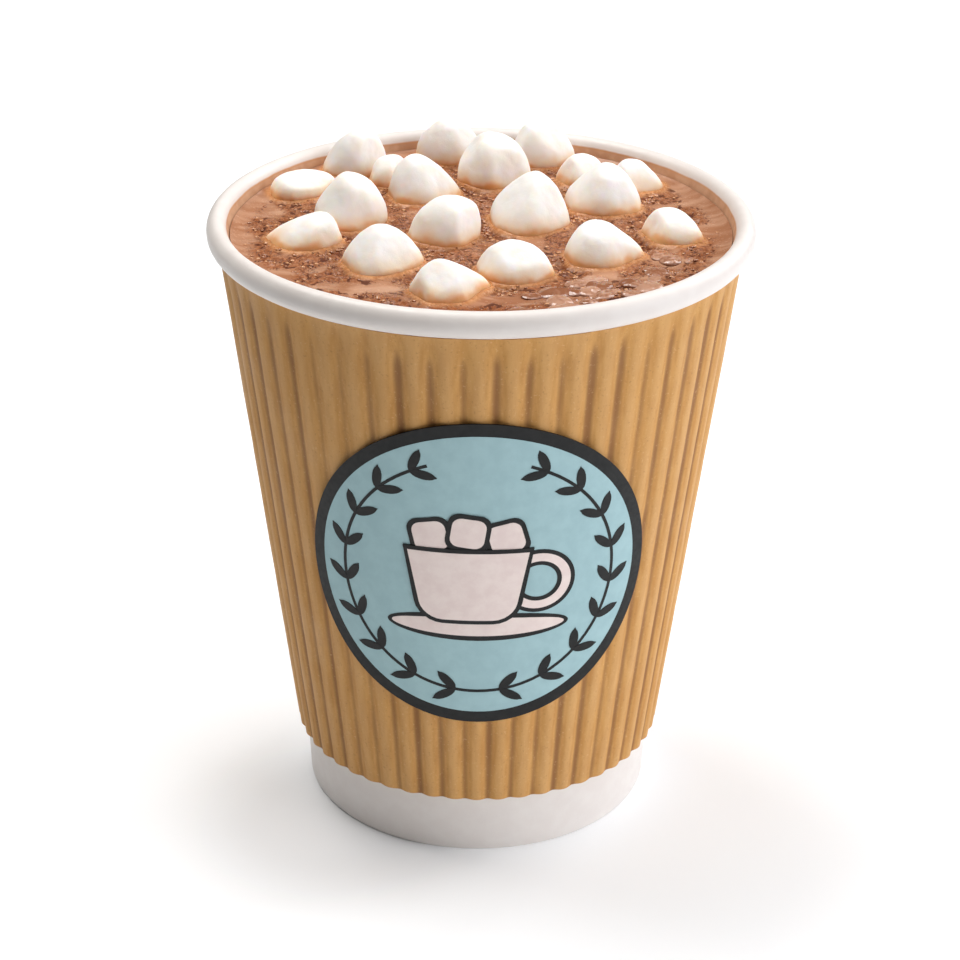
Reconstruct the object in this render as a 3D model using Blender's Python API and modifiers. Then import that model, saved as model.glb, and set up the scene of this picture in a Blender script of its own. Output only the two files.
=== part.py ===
"""Paper cup of hot chocolate with mini marshmallows. Metres, +Z up, standing on z = 0."""

import math
import random

import bmesh
import bpy
from mathutils import Matrix, Vector, noise

MM = 0.001
GAP = 0.3 * MM

# White paper cup: a cone with a rolled rim, folded in at the foot round a raised floor
CUP_HEIGHT = 105.0 * MM
BASE_RADIUS = 30.0 * MM
RIM_RADIUS = 45.0 * MM
RIM_WIDTH = 3.4 * MM
RIM_DROP = 4.3 * MM
WALL = 0.55 * MM
FOOT_WIDTH = 1.3 * MM
FOOT_HEIGHT = 5.0 * MM
FLOOR_THICKNESS = 0.7 * MM
CUP_SEGMENTS = 64
RIM_STEP_DEGREES = 30

# Kraft sleeve: one corrugated sheet round the cup, from above the foot to under the rim
SLEEVE_LOW = 11.4 * MM
SLEEVE_HIGH = CUP_HEIGHT - RIM_DROP - GAP
SLEEVE_LOW_RADIUS = 32.1 * MM
SLEEVE_HIGH_RADIUS = 43.15 * MM
SHEET = 0.4 * MM
RIPPLES = 52
RIPPLE_DEPTH = 0.8 * MM
RIPPLE_SEGMENTS = 6

# Round sticker on the front of the sleeve, bridging the ripples
LABEL_RADIUS = 28.5 * MM
LABEL_CENTRE = 57.0 * MM
LABEL_THICKNESS = 0.3 * MM
LABEL_SEGMENTS = 36
LABEL_RINGS = 5

# Drink, filled nearly to the rim, with low frothy swells
DRINK_LEVEL = CUP_HEIGHT - 3.7 * MM
DRINK_SEGMENTS = 48
DRINK_RINGS = 9
SWELL = 0.35 * MM
SWELL_SIZE = 6.0 * MM
SWELL_MARGIN = 3.0 * MM

# A marshmallow is a soft block. Its widest level, the waist, stands just above the drink,
# and it narrows to a pinched top and a rounded underside. Its cage is a little larger than
# the block, as softening draws it in.
CAGE_SPREAD = 1.18
CAGE_RISE = 1.12
CROWN = 0.9
TOP_DEPTH_SHARE = 0.4
UNDERSIDE_SHARE = 0.78
POCKET_GAP = 0.4 * MM
DENT = 0.03
SEED = 4

# x, y, width, depth, height above the drink, depth under it, height of the waist (all in
# mm), share of the width kept at the top, sideways lean of the top in mm, turn about Z in
# degrees, squareness of the footprint (0.5 is a diamond, 1 a square)
MARSHMALLOWS = (
    (-22.3, 28.6, 13.9, 9.5, 7.7, 3.0, 2.9, 0.21, 1.5, 5, 0.50),
    (-15.9, 24.0, 9.2, 6.4, 4.5, 3.0, 1.0, 0.50, 0.3, 38, 0.60),
    (-5.7, 36.1, 15.4, 8.4, 7.3, 3.0, 2.7, 0.23, 0.0, -1, 0.50),
    (2.1, 25.1, 14.6, 12.5, 8.1, 3.5, 2.2, 0.55, -0.4, -2, 0.50),
    (-9.6, 17.6, 13.8, 11.5, 7.2, 3.5, 0.2, 0.18, -1.8, 24, 0.76),
    (-30.8, 18.1, 13.6, 8.8, 3.2, 3.5, 0.9, 0.74, 0.3, 28, 0.57),
    (-22.0, 3.6, 15.5, 12.6, 8.5, 3.5, 2.3, 0.24, 0.8, 16, 0.50),
    (-29.6, -5.0, 15.6, 12.6, 4.5, 3.5, 0.3, 0.20, 3.7, -5, 0.59),
    (-15.8, -14.8, 15.2, 11.4, 6.3, 3.5, 0.2, 0.18, 0.2, 38, 0.80),
    (-6.4, -2.6, 10.2, 8.8, 6.7, 3.5, 0.2, 0.69, 1.8, -24, 1.00),
    (7.5, 4.2, 12.5, 11.4, 8.2, 3.5, 1.0, 0.18, 2.1, 32, 1.00),
    (5.4, -18.9, 15.5, 12.5, 4.8, 3.5, 0.3, 0.54, -0.2, -19, 0.50),
    (-4.4, -26.3, 15.6, 10.6, 5.0, 3.5, 0.2, 0.18, -2.3, 30, 0.75),
    (20.0, -11.3, 15.6, 11.9, 6.1, 3.5, 0.2, 0.18, -1.9, 11, 0.68),
    (10.7, 34.6, 13.4, 7.7, 7.4, 3.0, 1.7, 0.56, -0.8, 4, 0.50),
    (17.0, 24.7, 10.8, 8.0, 5.1, 3.0, 1.0, 0.39, 0.7, -3, 0.50),
    (20.1, 12.6, 15.7, 11.6, 7.6, 3.5, 1.0, 0.18, 1.3, -18, 0.66),
    (26.7, 22.1, 11.0, 8.8, 5.1, 3.0, 0.2, 0.18, -1.4, -5, 0.68),
    (31.5, -2.2, 14.5, 10.0, 4.7, 3.5, 1.0, 0.22, -1.4, -36, 0.50),
)


def material(name, color, roughness):
    made = bpy.data.materials.new(name)
    made.use_nodes = True
    shader = made.node_tree.nodes["Principled BSDF"]
    shader.inputs["Base Color"].default_value = (*color, 1.0)
    shader.inputs["Roughness"].default_value = roughness
    shader.inputs["Metallic"].default_value = 0.0
    return made


def add_object(name, mesh, collection, finish=None):
    obj = bpy.data.objects.new(name, mesh)
    collection.objects.link(obj)
    if finish:
        mesh.materials.append(finish)
    return obj


def apply_modifiers(obj):
    """Turns the object's modifiers into plain mesh."""
    graph = bpy.context.evaluated_depsgraph_get()
    mesh = bpy.data.meshes.new_from_object(obj.evaluated_get(graph))
    obj.modifiers.clear()
    obj.data = mesh


def smooth(mesh, sharp_degrees=40):
    mesh.shade_smooth()
    mesh.set_sharp_from_angle(angle=math.radians(sharp_degrees))


def turned(name, profile, segments, collection, finish):
    """Turns a profile of (radius, height) points, run down its outer side, about the Z axis."""
    mesh = bpy.data.meshes.new(name)
    points = [(radius, 0.0, height) for radius, height in profile]
    edges = [(i, i + 1) for i in range(len(points) - 1)]
    mesh.from_pydata(points, edges, [])
    obj = add_object(name, mesh, collection, finish)
    screw = obj.modifiers.new("Turn", "SCREW")
    screw.steps = segments
    screw.render_steps = segments
    screw.use_merge_vertices = True
    screw.merge_threshold = 0.00001
    return obj


def sleeve_radius(height):
    """Radius of the sleeve's crests at a height."""
    share = (height - SLEEVE_LOW) / (SLEEVE_HIGH - SLEEVE_LOW)
    return SLEEVE_LOW_RADIUS + share * (SLEEVE_HIGH_RADIUS - SLEEVE_LOW_RADIUS)


def wall_radius(height):
    """Outer radius of the cup's wall: it clears the sleeve's valleys, and the foot is steeper."""
    clear = RIPPLE_DEPTH + SHEET + GAP
    if height >= SLEEVE_LOW:
        return sleeve_radius(height) - clear
    share = height / SLEEVE_LOW
    return BASE_RADIUS + share * (SLEEVE_LOW_RADIUS - clear - BASE_RADIUS)


def make_cup(collection):
    """Wall, rolled rim and foot fold, open at the bottom, where the floor closes it."""
    finish = material("cup_paper", (0.87, 0.85, 0.82), 0.5)
    floor_top = FOOT_HEIGHT + FLOOR_THICKNESS
    rim_middle = CUP_HEIGHT - RIM_DROP / 2
    profile = [
        (wall_radius(0) - FOOT_WIDTH, 0.0),
        (wall_radius(FOOT_HEIGHT) - FOOT_WIDTH, FOOT_HEIGHT - GAP),
        (wall_radius(FOOT_HEIGHT) - WALL, FOOT_HEIGHT - GAP),
        (wall_radius(floor_top) - WALL, floor_top),
        (wall_radius(SLEEVE_LOW) - WALL, SLEEVE_LOW),
        (wall_radius(rim_middle) - WALL, rim_middle),
    ]
    for degrees in range(180 - RIM_STEP_DEGREES, -150 - 1, -RIM_STEP_DEGREES):
        angle = math.radians(degrees)
        radius = RIM_RADIUS - RIM_WIDTH / 2 * (1 - math.cos(angle))
        profile.append((radius, rim_middle + RIM_DROP / 2 * math.sin(angle)))
    roll_end = CUP_HEIGHT - RIM_DROP + GAP
    profile += [
        (wall_radius(roll_end), roll_end),
        (wall_radius(SLEEVE_LOW), SLEEVE_LOW),
        (wall_radius(0), 0.0),
        (wall_radius(0) - FOOT_WIDTH, 0.0),
    ]
    cup = turned("cup", profile, CUP_SEGMENTS, collection, finish)
    weld = cup.modifiers.new("Close foot", "WELD")
    weld.merge_threshold = 0.00001
    apply_modifiers(cup)
    smooth(cup.data)
    return cup


def make_floor(collection):
    """Bottom disc, resting on the foot fold inside the wall."""
    finish = material("floor_paper", (0.87, 0.85, 0.82), 0.55)
    top = FOOT_HEIGHT + FLOOR_THICKNESS
    radius = wall_radius(FOOT_HEIGHT) - WALL - GAP
    profile = [(0.0, top), (radius, top), (radius, FOOT_HEIGHT), (0.0, FOOT_HEIGHT)]
    floor = turned("cup_floor", profile, CUP_SEGMENTS, collection, finish)
    apply_modifiers(floor)
    return floor


def make_sleeve(collection):
    """Corrugated sheet: an open cone, rippled and then thickened inwards."""
    bm = bmesh.new()
    bmesh.ops.create_cone(
        bm,
        cap_ends=False,
        segments=RIPPLES * RIPPLE_SEGMENTS,
        radius1=SLEEVE_LOW_RADIUS,
        radius2=SLEEVE_HIGH_RADIUS,
        depth=SLEEVE_HIGH - SLEEVE_LOW,
    )
    bmesh.ops.translate(bm, verts=bm.verts, vec=(0, 0, (SLEEVE_HIGH + SLEEVE_LOW) / 2))
    for vert in bm.verts:
        angle = math.atan2(vert.co.y, vert.co.x)
        valley = (1 - math.cos(RIPPLES * angle)) / 2
        radius = sleeve_radius(vert.co.z) - RIPPLE_DEPTH * valley
        vert.co = (radius * math.cos(angle), radius * math.sin(angle), vert.co.z)
    mesh = bpy.data.meshes.new("sleeve")
    bm.to_mesh(mesh)
    bm.free()
    sleeve = add_object("sleeve", mesh, collection, material("kraft", (0.46, 0.28, 0.13), 0.8))
    thick = sleeve.modifiers.new("Sheet", "SOLIDIFY")
    thick.thickness = SHEET
    thick.offset = -1.0
    smooth(mesh, 60)
    return sleeve


def make_label(collection):
    """Flat disc wrapped on to the cone that the ripple crests touch."""
    finish = material("label_print", (0.36, 0.55, 0.6), 0.45)
    profile = [(LABEL_RADIUS * i / LABEL_RINGS, 0.0) for i in range(LABEL_RINGS + 1)]
    label = turned("label", profile, LABEL_SEGMENTS, collection, finish)
    apply_modifiers(label)
    lean = math.atan2(SLEEVE_HIGH_RADIUS - SLEEVE_LOW_RADIUS, SLEEVE_HIGH - SLEEVE_LOW)
    for vert in label.data.vertices:
        height = LABEL_CENTRE + vert.co.y * math.cos(lean)
        radius = sleeve_radius(height) + GAP
        angle = vert.co.x / radius
        vert.co = (radius * math.sin(angle), -radius * math.cos(angle), height)
    thick = label.modifiers.new("Paper", "SOLIDIFY")
    thick.thickness = LABEL_THICKNESS
    thick.offset = 1.0
    smooth(label.data)
    return label


def marshmallow_mesh(name, number, grow):
    """A soft block from a coarse cage; grow widens it all round, for the pocket that it floats in."""
    x, y, width, depth, above, below, waist, top_share, lean, turn, squareness = MARSHMALLOWS[number]
    draw = random.Random(SEED + number)
    half_width = width * MM * CAGE_SPREAD / 2 + grow
    half_depth = depth * MM * CAGE_SPREAD / 2 + grow
    rises = (-below * MM * CAGE_RISE - grow, waist * MM, above * MM * CAGE_RISE + grow)
    width_shares = (UNDERSIDE_SHARE, 1.0, top_share)
    depth_shares = (UNDERSIDE_SHARE, 1.0, max(top_share, TOP_DEPTH_SHARE))
    bm = bmesh.new()
    bmesh.ops.create_cube(bm, size=2.0)
    bmesh.ops.subdivide_edges(bm, edges=bm.edges, cuts=1, use_grid_fill=True)
    for vert in bm.verts:
        across, along, level = (round(side) for side in vert.co)
        dents = [1 + draw.uniform(-DENT, DENT) for _ in range(3)]
        corner = squareness if across and along else 1.0
        crown = CROWN if level and (across or along) else 1.0
        vert.co = (
            across * half_width * corner * width_shares[level + 1] * dents[0] + max(level, 0) * lean * MM,
            along * half_depth * corner * depth_shares[level + 1] * dents[1],
            rises[level + 1] * crown * dents[2],
        )
    bmesh.ops.rotate(bm, verts=bm.verts, cent=(0, 0, 0), matrix=Matrix.Rotation(math.radians(turn), 3, "Z"))
    bmesh.ops.translate(bm, verts=bm.verts, vec=(x * MM, y * MM, DRINK_LEVEL))
    mesh = bpy.data.meshes.new(name)
    bm.to_mesh(mesh)
    bm.free()
    mesh.shade_smooth()
    return mesh


def soften(obj):
    soft = obj.modifiers.new("Soft", "SUBSURF")
    soft.levels = 1
    soft.render_levels = 1


def make_marshmallows(collection):
    finish = material("marshmallow", (0.88, 0.83, 0.78), 0.7)
    for number in range(len(MARSHMALLOWS)):
        name = f"marshmallow_{number + 1:02d}"
        obj = add_object(name, marshmallow_mesh(name, number, 0.0), collection, finish)
        soften(obj)


def drink_relief(x, y, edge):
    """Height of the froth over the drink's level; it dies away at the cup's wall."""
    inside = min(1.0, (edge - math.hypot(x, y)) / SWELL_MARGIN)
    return SWELL * max(0.0, inside) * noise.noise(Vector((x, y, 0.0)) / SWELL_SIZE)


def make_drink(collection, cutters):
    """Turned fill of the cup, with a pocket round each marshmallow."""
    finish = material("chocolate", (0.3, 0.12, 0.05), 0.3)
    bottom = FOOT_HEIGHT + FLOOR_THICKNESS + GAP

    def inside(height):
        return wall_radius(height) - WALL - GAP

    edge = inside(DRINK_LEVEL)
    profile = [(edge * i / DRINK_RINGS, DRINK_LEVEL) for i in range(DRINK_RINGS + 1)]
    profile += [(inside(SLEEVE_LOW), SLEEVE_LOW), (inside(bottom), bottom), (0.0, bottom)]
    drink = turned("drink", profile, DRINK_SEGMENTS, collection, finish)
    apply_modifiers(drink)
    for vert in drink.data.vertices:
        if vert.co.z > DRINK_LEVEL - GAP:
            vert.co.z += drink_relief(vert.co.x, vert.co.y, edge)
    for number in range(len(MARSHMALLOWS)):
        name = f"pocket_{number + 1:02d}"
        cutter = add_object(name, marshmallow_mesh(name, number, POCKET_GAP), cutters)
        cutter.hide_render = True
        cutter.display_type = "WIRE"
        soften(cutter)
        cut = drink.modifiers.new(name, "BOOLEAN")
        cut.operation = "DIFFERENCE"
        cut.object = cutter
    return drink


def new_collection(name):
    made = bpy.data.collections.new(name)
    bpy.context.scene.collection.children.link(made)
    return made


def main():
    for obj in list(bpy.data.objects):
        bpy.data.objects.remove(obj)
    parts = new_collection("hot_chocolate")
    cutters = new_collection("cutters")
    cutters.hide_render = True
    make_cup(parts)
    make_floor(parts)
    make_sleeve(parts)
    make_label(parts)
    make_marshmallows(parts)
    make_drink(parts, cutters)


main()
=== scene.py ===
import math
import random

import bmesh
import bpy
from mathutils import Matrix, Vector, noise
from mathutils.bvhtree import BVHTree


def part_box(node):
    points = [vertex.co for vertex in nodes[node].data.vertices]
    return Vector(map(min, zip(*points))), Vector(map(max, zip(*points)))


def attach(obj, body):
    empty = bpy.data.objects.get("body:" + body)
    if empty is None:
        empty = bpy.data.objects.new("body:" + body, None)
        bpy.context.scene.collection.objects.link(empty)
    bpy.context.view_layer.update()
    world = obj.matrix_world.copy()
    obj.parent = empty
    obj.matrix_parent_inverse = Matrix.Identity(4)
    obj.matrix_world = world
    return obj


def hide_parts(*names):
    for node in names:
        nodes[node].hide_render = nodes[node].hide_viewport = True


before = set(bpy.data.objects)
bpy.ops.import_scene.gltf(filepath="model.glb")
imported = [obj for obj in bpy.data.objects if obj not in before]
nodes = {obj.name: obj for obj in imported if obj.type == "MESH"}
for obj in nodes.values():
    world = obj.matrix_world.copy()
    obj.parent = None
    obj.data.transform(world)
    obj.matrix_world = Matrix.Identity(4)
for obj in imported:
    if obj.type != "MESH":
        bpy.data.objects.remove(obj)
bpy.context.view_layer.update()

mm = 0.001
body = "root"


# helpers for selecting and shaping

def clearSelection():
    bpy.ops.object.select_all(action="DESELECT")


def openForEdit(piece):
    clearSelection()
    piece.select_set(True)
    bpy.context.view_layer.objects.active = piece
    bpy.ops.object.mode_set(mode="EDIT")
    bpy.ops.mesh.select_mode(type="VERT")
    bpy.ops.mesh.select_all(action="DESELECT")


def closeEdit():
    bpy.ops.object.mode_set(mode="OBJECT")


def pickVerts(piece, test):
    shape = bmesh.from_edit_mesh(piece.data)
    for vert in shape.verts:
        vert.select = test(vert.co)
    shape.select_flush_mode()
    bmesh.update_edit_mesh(piece.data)


def pickEdges(piece, test):
    bpy.ops.mesh.select_mode(type="EDGE")
    shape = bmesh.from_edit_mesh(piece.data)
    for edge in shape.edges:
        edge.select = test(edge)
    shape.select_flush_mode()
    bmesh.update_edit_mesh(piece.data)


def tidyShell(piece, doubles=0.004 * mm):      # welds doubles and turns the faces outwards
    openForEdit(piece)
    bpy.ops.mesh.select_all(action="SELECT")
    bpy.ops.mesh.remove_doubles(threshold=doubles)
    bpy.ops.mesh.normals_make_consistent(inside=False)
    closeEdit()


def settle(piece):                             # the place goes into the mesh
    clearSelection()
    piece.select_set(True)
    bpy.context.view_layer.objects.active = piece
    bpy.ops.object.transform_apply(location=True, rotation=True, scale=True)


def applyAll(piece):
    clearSelection()
    piece.select_set(True)
    bpy.context.view_layer.objects.active = piece
    for modifier in list(piece.modifiers):
        bpy.ops.object.modifier_apply(modifier=modifier.name)


def shadeSmooth(piece, degrees=40):
    clearSelection()
    piece.select_set(True)
    bpy.context.view_layer.objects.active = piece
    bpy.ops.object.shade_smooth_by_angle(angle=math.radians(degrees))


def softenMesh(piece, levels):
    soft = piece.modifiers.new("soften", "SUBSURF")
    soft.levels = levels
    soft.render_levels = levels
    return soft


def displace(piece, kind, size, strength, group="", direction="NORMAL", **settings):
    pattern = bpy.data.textures.new(kind.lower(), kind)
    pattern.noise_scale = size
    for name, value in settings.items():
        setattr(pattern, name, value)
    push = piece.modifiers.new("relief", "DISPLACE")
    push.texture = pattern
    push.texture_coords = "LOCAL"
    push.direction = direction
    push.strength = strength
    push.mid_level = 0.5
    push.vertex_group = group
    return push


def paintValues(piece, name, values):          # one number per vertex, for the materials
    layer = piece.data.attributes.new(name, "FLOAT", "POINT")
    layer.data.foreach_set("value", values)


def dress(piece, material, replaced=()):
    piece.data.materials.clear()
    piece.data.materials.append(material)
    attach(piece, body)
    if replaced:
        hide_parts(*replaced)


# helpers for materials

def fromScreen(red, green, blue):              # a colour read off a screen, 0 to 255
    def linear(value):
        share = value / 255
        return share / 12.92 if share <= 0.04045 else ((share + 0.055) / 1.055) ** 2.4
    return (linear(red), linear(green), linear(blue), 1.0)


def addNode(tree, kind, inputs=None, **settings):
    made = tree.nodes.new("ShaderNode" + kind)
    for name, value in settings.items():
        setattr(made, name, value)
    for name, value in (inputs or {}).items():
        if isinstance(value, bpy.types.NodeSocket):
            tree.links.new(value, made.inputs[name])
        else:
            made.inputs[name].default_value = value
    return made


def startMaterial(name, sockets):
    material = bpy.data.materials.new(name)
    material.use_nodes = True
    tree = material.node_tree
    shader = tree.nodes["Principled BSDF"]
    for socket, value in sockets.items():
        shader.inputs[socket].default_value = value
    coords = addNode(tree, "TexCoord").outputs["Object"]
    return material, tree, shader, coords


def stretch(tree, coords, scale, shift=(0, 0, 0)):
    return addNode(tree, "Mapping", {"Vector": coords, "Scale": scale, "Location": shift}).outputs["Vector"]


def cloudy(tree, coords, size, detail=3.0, rough=0.5, twist=0.0):       # size is that of one blotch
    made = addNode(tree, "TexNoise", {
        "Vector": coords, "Scale": 1 / size, "Detail": detail, "Roughness": rough, "Distortion": twist})
    return made.outputs["Fac"]


def cells(tree, coords, size, feature="F1", output="Distance"):
    made = addNode(tree, "TexVoronoi", {"Vector": coords, "Scale": 1 / size}, feature=feature)
    return made.outputs[output]


def mapValue(tree, value, low, high, toLow=0.0, toHigh=1.0, smooth=True):
    made = addNode(tree, "MapRange", {
        "Value": value, "From Min": low, "From Max": high, "To Min": toLow, "To Max": toHigh})
    made.interpolation_type = "SMOOTHSTEP" if smooth else "LINEAR"
    return made.outputs["Result"]


def combine(tree, operation, first, second=0.5):
    return addNode(tree, "Math", {0: first, 1: second}, operation=operation, use_clamp=False).outputs[0]


def mixColors(tree, factor, first, second, mode="MIX"):
    made = addNode(tree, "Mix", {0: factor, 6: first, 7: second}, data_type="RGBA", blend_type=mode)
    return made.outputs[2]


def painted(tree, name):
    return addNode(tree, "Attribute", attribute_name=name).outputs["Fac"]


def bumpy(tree, height, distance, strength=1.0, under=None):
    inputs = {"Height": height, "Distance": distance, "Strength": strength}
    if under:
        inputs["Normal"] = under
    return addNode(tree, "Bump", inputs).outputs["Normal"]


# camera, light and floor
print("camera, light and floor")
cameraView = {
    "target": Vector((0, 0, 55.9 * mm)),
    "distance": 430 * mm,
    "elevation": 26.2,       # degrees above level
    "roll": 0.5,
    "lens": 93.4,
    "shift": 0.001,
}
studio = {
    "surround": (1.0, 1.0, 1.0, 1.0),    # only a backdrop, it lights nothing
    # place, size, power and colour of each soft light, all turned to the cup
    "lights": {
        "windowFront": ((0.864, -0.864, 0.445), 0.8, 3.6, (1.0, 0.94, 0.89)),
        "windowLow": ((1.180, -0.429, 0.336), 0.8, 6.0, (0.96, 1.0, 1.1)),
        "windowHigh": ((0.785, -0.286, 0.996), 0.8, 1.8, (1.0, 0.99, 0.97)),
        "windowRear": ((0.872, 0.611, 0.746), 0.8, 7.5, (1.0, 1.0, 1.02)),
        "overheadLeft": ((-0.4, 0.3, 1.1), 0.6, 8.2, (1.0, 0.97, 0.94)),
        "overhead": ((0.0, 0.05, 1.3), 1.0, 7.4, (1.0, 0.985, 0.97)),
    },
    "lightTarget": Vector((0, 0, 60 * mm)),
    "floorSize": 2.4,
    "floorFade": (0.75, 0.3),            # the floor melts into the backdrop
    "floorDrop": 0.05 * mm,
    "floorColor": (0.86, 0.88, 0.9, 1.0),
    "floorGlow": 0.2,
    "glowReach": (12 * mm, 34 * mm),     # the floor in front of the foot keeps its shadow
    "glowShift": (25 * mm, 21 * mm, 0),
}

scene = bpy.context.scene
scene.view_settings.view_transform = "Standard"
up = math.radians(cameraView["elevation"])
away = Vector((0, -math.cos(up), math.sin(up))) * cameraView["distance"]
clearSelection()
bpy.ops.object.camera_add(location=cameraView["target"] + away)
camera = bpy.context.object
camera.rotation_euler = (math.radians(90) - up, 0, 0)
camera.rotation_euler.rotate_axis("Z", math.radians(cameraView["roll"]))
camera.data.lens = cameraView["lens"]
camera.data.shift_x = cameraView["shift"]
camera.data.clip_start = 0.01
scene.camera = camera

surround = bpy.data.worlds.new("studioSurround")
surround.use_nodes = True
surround.node_tree.nodes["Background"].inputs["Color"].default_value = studio["surround"]
surround.cycles_visibility.diffuse = False
surround.cycles_visibility.glossy = False
scene.world = surround
for name, (place, size, power, color) in studio["lights"].items():
    bpy.ops.object.light_add(type="AREA", location=place)
    lamp = bpy.context.object
    lamp.name = name
    lamp.rotation_euler = (studio["lightTarget"] - Vector(place)).to_track_quat("-Z", "Y").to_euler()
    lamp.data.size = size
    lamp.data.energy = power
    lamp.data.color = color

clearSelection()
bpy.ops.mesh.primitive_plane_add(size=studio["floorSize"], location=(0, 0, -studio["floorDrop"]))
studioFloor = bpy.context.object
studioFloor.name = "studioFloor"
material, tree, shader, coords = startMaterial("paleFloor", {
    "Base Color": studio["floorColor"], "Roughness": 0.55, "Emission Strength": studio["floorGlow"]})
fromFoot = addNode(tree, "VectorMath", {0: stretch(tree, coords, (1, 1, 1), studio["glowShift"])}, operation="LENGTH")
tree.links.new(mapValue(tree, fromFoot.outputs["Value"], *studio["glowReach"]), shader.inputs["Emission Color"])
fromCup = addNode(tree, "VectorMath", {0: coords}, operation="LENGTH")
tree.links.new(mapValue(tree, fromCup.outputs["Value"], *studio["floorFade"]), shader.inputs["Alpha"])
tree.links.new(mapValue(tree, cloudy(tree, coords, 0.05), 0.3, 0.7, 0.5, 0.6), shader.inputs["Roughness"])
studioFloor.data.materials.append(material)


# cup
print("cup")
cupShape = {
    "height": 105.0 * mm,
    "baseRadius": 30.0 * mm,
    "rimRadius": 45.0 * mm,
    "rimWidth": 3.4 * mm,
    "rimDrop": 4.3 * mm,
    "rimSteps": 24,
    "wall": 0.55 * mm,
    "footWidth": 1.3 * mm,
    "footHeight": 4.7 * mm,
    "sides": 192,
    "stainTop": 2.3 * mm,    # over the drink
    "stainFade": 0.35 * mm,
}
sleeveShape = {
    "low": 11.4 * mm,
    "high": 100.4 * mm,
    "lowRadius": 32.1 * mm,
    "highRadius": 43.15 * mm,
    "wallGap": 1.5 * mm,     # from the crests in to the cup's wall
    "ripples": 52,
    "columns": 6,            # of each ripple
    "rows": 14,
    "topCuts": 3,
    "depth": 0.62 * mm,      # the subdivision takes some of it back
    "profile": ((1, 0.12), (2, 0.55), (3, 1.0)),     # columns from the crest and share of the depth
    "sheet": 0.4 * mm,
    "unevenDepth": 0.18,
    "pressedTop": 5.0 * mm,  # ripples are flatter under the rim
    "seed": 7,
}
drinkLevel = 101.3 * mm


def crestRadius(height):
    share = (height - sleeveShape["low"]) / (sleeveShape["high"] - sleeveShape["low"])
    return sleeveShape["lowRadius"] + share * (sleeveShape["highRadius"] - sleeveShape["lowRadius"])


def cupRadius(height):
    low = sleeveShape["low"]
    if height >= low:
        return crestRadius(height) - sleeveShape["wallGap"]
    base = cupShape["baseRadius"]
    return base + height / low * (crestRadius(low) - sleeveShape["wallGap"] - base)


def turnUp(name, rings, sides, fill="NOTHING"):
    # a ring is added at the first radius and height, then extruded through the others
    clearSelection()
    radius, height = rings[0]
    bpy.ops.mesh.primitive_circle_add(vertices=sides, radius=radius, location=(0, 0, height), fill_type=fill)
    piece = bpy.context.object
    piece.name = name
    openForEdit(piece)
    pickEdges(piece, lambda edge: edge.is_boundary or not edge.link_faces)
    for nextRadius, nextHeight in rings[1:]:
        bpy.ops.mesh.extrude_edges_move(TRANSFORM_OT_translate={"value": (0, 0, nextHeight - height)})
        bpy.ops.transform.resize(value=(nextRadius / radius, nextRadius / radius, 1), center_override=(0, 0, 0))
        radius, height = nextRadius, nextHeight
    return piece


def cupRings():
    wall, foot = cupShape["wall"], cupShape["footHeight"]
    middle = cupShape["height"] - cupShape["rimDrop"] / 2
    low = sleeveShape["low"]
    rings = [(cupRadius(0) - cupShape["footWidth"], 0.0), (cupRadius(foot) - cupShape["footWidth"], foot)]
    rings += [(cupRadius(foot) - wall, foot), (cupRadius(low) - wall, low)]
    wallSteps = 12
    for step in range(1, wallSteps + 1):
        height = low + (middle - 0.6 * mm - low) * (step / wallSteps) ** 0.4
        rings.append((cupRadius(height) - wall, height))
    for step in range(1, cupShape["rimSteps"] + 1):
        angle = math.radians(180 - 330 * step / cupShape["rimSteps"])
        radius = cupShape["rimRadius"] - cupShape["rimWidth"] / 2 * (1 - math.cos(angle))
        rings.append((radius, middle + cupShape["rimDrop"] / 2 * math.sin(angle)))
    rollEnd = cupShape["height"] - cupShape["rimDrop"] + 0.3 * mm
    rings += [(cupRadius(rollEnd), rollEnd), (cupRadius(low), low), (cupRadius(0.35 * mm), 0.35 * mm)]
    rings += [(cupRadius(0) - 0.12 * mm, 0.06 * mm), (cupRadius(0) - 0.4 * mm, 0.0), rings[0]]
    return rings


cup = turnUp("cupShell", cupRings(), cupShape["sides"])
closeEdit()
settle(cup)
tidyShell(cup)
shadeSmooth(cup, 50)


def insideWall(point):       # 1 on the cup's inner side, 0 on its outer side and foot
    innermost = cupShape["rimRadius"] - cupShape["rimWidth"] / 2
    return 1.0 if point.z > drinkLevel - 5 * mm and math.hypot(point.x, point.y) < innermost else 0.0


paintValues(cup, "insideWall", [insideWall(vert.co) for vert in cup.data.vertices])

material, tree, shader, coords = startMaterial("coatedPaper", {"Roughness": 0.4, "Subsurface Weight": 0.0})
mottle = cloudy(tree, coords, 3.0 * mm, 4.0)
white = mixColors(tree, mapValue(tree, mottle, 0.35, 0.7), fromScreen(231, 224, 219), fromScreen(234, 228, 223))
# the drink has coloured the wall a little over its level, most along the top of the mark
heightAt = addNode(tree, "SeparateXYZ", {0: coords}).outputs["Z"]
waver = mapValue(tree, cloudy(tree, coords, 7 * mm), 0.2, 0.8, -0.1 * mm, 0.1 * mm)
markHeight = combine(tree, "ADD", heightAt, waver)
markTop = drinkLevel + cupShape["stainTop"]
stain = mapValue(tree, markHeight, markTop + cupShape["stainFade"] / 2, markTop - cupShape["stainFade"] / 2)
stain = combine(tree, "MULTIPLY", stain, painted(tree, "insideWall"))
stainColor = mixColors(tree, mapValue(tree, cloudy(tree, coords, 2.4 * mm), 0.3, 0.7), fromScreen(214, 172, 138),
                       fromScreen(200, 154, 120))
stainColor = mixColors(tree, mapValue(tree, markHeight, markTop - 0.5 * mm, markTop - 0.1 * mm, 0, 0.6), stainColor,
                       fromScreen(206, 146, 92))
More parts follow.
